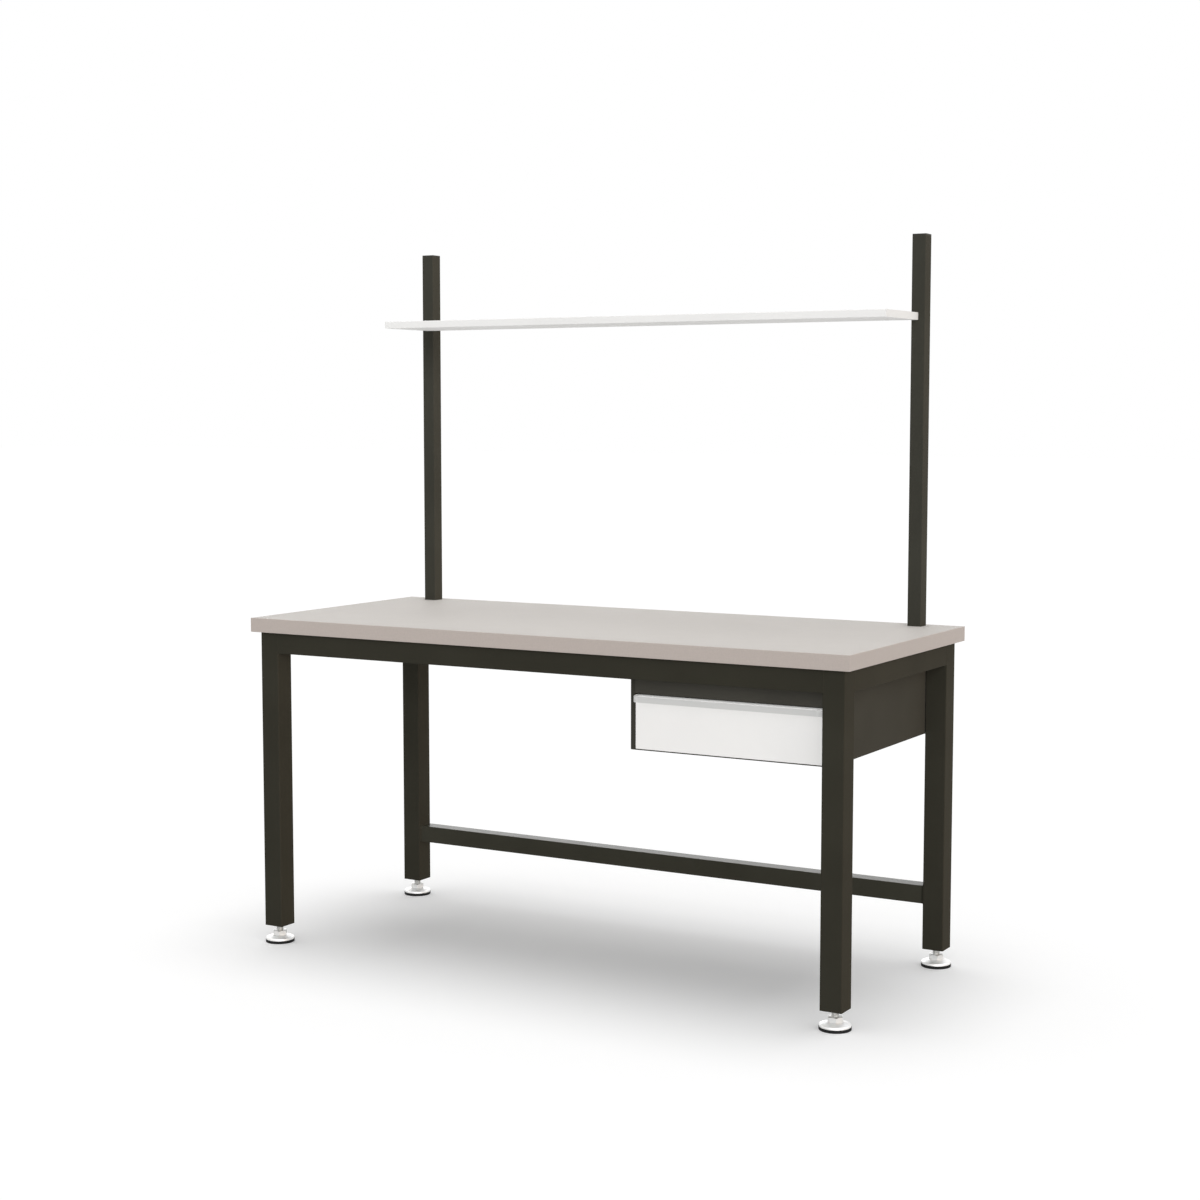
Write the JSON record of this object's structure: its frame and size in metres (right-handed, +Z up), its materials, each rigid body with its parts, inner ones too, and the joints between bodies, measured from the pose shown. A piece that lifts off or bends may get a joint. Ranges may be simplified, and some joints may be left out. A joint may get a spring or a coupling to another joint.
{
  "type": "workbench with overhead shelf",
  "caption": "Workbench on a welded square-tube frame with levelling feet, a laminated worktop, a long overhead shelf on uprights and a drawer on ball slides under one end.",
  "frame": {"origin": "on the floor, under the middle of the worktop", "axes": "+X to the user's right, +Y to the rear, +Z up"},
  "size_m": [1.84, 0.79, 2],
  "materials": {
    "frame_paint": "dark grey-brown powder coat, fine texture",
    "worktop_laminate": "pale grey high-pressure laminate, fine stipple",
    "worktop_edge": "warm grey edge band, satin",
    "core_board": "chipboard",
    "shelf_white": "white powder coat",
    "drawer_white": "white powder coat",
    "drawer_grey": "pale grey powder coat",
    "handle_grey": "satin anodised extrusion",
    "handle_cap_grey": "moulded pale grey plastic",
    "cap_black": "moulded dark plastic",
    "bright_zinc": "bright zinc plate",
    "cage_plastic": "ball cage with its balls",
    "foot_rubber": "black rubber"
  },
  "bodies": {
    "root": {"leg_front_left": "frame_paint", "leg_front_right": "frame_paint", "leg_rear_left": "frame_paint", "leg_rear_right": "frame_paint", "rail_front": "frame_paint", "rail_rear": "frame_paint", "rail_left": "frame_paint", "rail_right": "frame_paint", "stretcher_rear": "frame_paint", "leg_inserts": "frame_paint", "upright_left": "frame_paint", "upright_right": "frame_paint", "spigot_left": "frame_paint", "spigot_right": "frame_paint", "cabinet_shell": "frame_paint", "cabinet_back": "frame_paint", "cabinet_filler": "frame_paint", "slide_support_left": "frame_paint", "slide_support_right": "frame_paint", "worktop_laminate": "worktop_laminate", "worktop_backing": "worktop_laminate", "worktop_edge_bands": "worktop_edge", "worktop_core": "core_board", "shelf_tray": "shelf_white", "shelf_bottom": "shelf_white", "shelf_stiffener": "shelf_white", "upright_caps": "cap_black", "worktop_screws": "bright_zinc", "upright_bolts": "bright_zinc", "shelf_arms": "bright_zinc", "shelf_nuts": "bright_zinc", "cabinet_screws": "bright_zinc", "slide_outer_left": "bright_zinc", "slide_outer_right": "bright_zinc"},
    "drawer": {"drawer_box": "drawer_grey", "drawer_front": "drawer_white", "drawer_handle": "handle_grey", "handle_end_caps": "handle_cap_grey", "handle_screws": "bright_zinc", "drawer_front_screws": "bright_zinc", "slide_inner_left": "bright_zinc", "slide_inner_right": "bright_zinc"},
    "middle_member_left": {"slide_middle_left": "bright_zinc"},
    "outer_balls_left": {"cage_outer_left": "cage_plastic"},
    "inner_balls_left": {"cage_inner_left": "cage_plastic"},
    "middle_member_right": {"slide_middle_right": "bright_zinc"},
    "outer_balls_right": {"cage_outer_right": "cage_plastic"},
    "inner_balls_right": {"cage_inner_right": "cage_plastic"},
    "stem_front_left": {"foot_stem_front_left": "bright_zinc"},
    "base_front_left": {"foot_disc_front_left": "bright_zinc", "foot_pad_front_left": "foot_rubber"},
    "stem_front_right": {"foot_stem_front_right": "bright_zinc"},
    "base_front_right": {"foot_disc_front_right": "bright_zinc", "foot_pad_front_right": "foot_rubber"},
    "stem_rear_left": {"foot_stem_rear_left": "bright_zinc"},
    "base_rear_left": {"foot_disc_rear_left": "bright_zinc", "foot_pad_rear_left": "foot_rubber"},
    "stem_rear_right": {"foot_stem_rear_right": "bright_zinc"},
    "base_rear_right": {"foot_disc_rear_right": "bright_zinc", "foot_pad_rear_right": "foot_rubber"}
  },
  "joints": [
    {"name": "drawer_slide", "type": "slide", "parent": "root", "child": "drawer", "axis": [0, -1, 0], "range_m": [0, 0.53]},
    {"name": "middle_member_left_slide", "type": "slide", "parent": "root", "child": "middle_member_left", "axis": [0, -1, 0], "range_m": [0, 0.265]},
    {"name": "outer_balls_left_slide", "type": "slide", "parent": "root", "child": "outer_balls_left", "axis": [0, -1, 0], "range_m": [0, 0.1325]},
    {"name": "inner_balls_left_slide", "type": "slide", "parent": "root", "child": "inner_balls_left", "axis": [0, -1, 0], "range_m": [0, 0.3975]},
    {"name": "middle_member_right_slide", "type": "slide", "parent": "root", "child": "middle_member_right", "axis": [0, -1, 0], "range_m": [0, 0.265]},
    {"name": "outer_balls_right_slide", "type": "slide", "parent": "root", "child": "outer_balls_right", "axis": [0, -1, 0], "range_m": [0, 0.1325]},
    {"name": "inner_balls_right_slide", "type": "slide", "parent": "root", "child": "inner_balls_right", "axis": [0, -1, 0], "range_m": [0, 0.3975]},
    {"name": "foot_height_front_left", "type": "slide", "parent": "root", "child": "stem_front_left", "axis": [0, 0, 1], "range_m": [-0.015, 0.0165]},
    {"name": "foot_turn_front_left", "type": "hinge", "parent": "stem_front_left", "child": "base_front_left", "pos_m": [-0.87, -0.345, 0.012], "axis": [0, 0, 1], "continuous": true},
    {"name": "foot_height_front_right", "type": "slide", "parent": "root", "child": "stem_front_right", "axis": [0, 0, 1], "range_m": [-0.015, 0.0165]},
    {"name": "foot_turn_front_right", "type": "hinge", "parent": "stem_front_right", "child": "base_front_right", "pos_m": [0.87, -0.345, 0.012], "axis": [0, 0, 1], "continuous": true},
    {"name": "foot_height_rear_left", "type": "slide", "parent": "root", "child": "stem_rear_left", "axis": [0, 0, 1], "range_m": [-0.015, 0.0165]},
    {"name": "foot_turn_rear_left", "type": "hinge", "parent": "stem_rear_left", "child": "base_rear_left", "pos_m": [-0.87, 0.345, 0.012], "axis": [0, 0, 1], "continuous": true},
    {"name": "foot_height_rear_right", "type": "slide", "parent": "root", "child": "stem_rear_right", "axis": [0, 0, 1], "range_m": [-0.015, 0.0165]},
    {"name": "foot_turn_rear_right", "type": "hinge", "parent": "stem_rear_right", "child": "base_rear_right", "pos_m": [0.87, 0.345, 0.012], "axis": [0, 0, 1], "continuous": true}
  ],
  "couplings": [
    {"joint": "middle_member_left_slide", "follows": "drawer_slide", "ratio": 0.5},
    {"joint": "outer_balls_left_slide", "follows": "drawer_slide", "ratio": 0.25},
    {"joint": "inner_balls_left_slide", "follows": "drawer_slide", "ratio": 0.75},
    {"joint": "middle_member_right_slide", "follows": "drawer_slide", "ratio": 0.5},
    {"joint": "outer_balls_right_slide", "follows": "drawer_slide", "ratio": 0.25},
    {"joint": "inner_balls_right_slide", "follows": "drawer_slide", "ratio": 0.75}
  ]
}
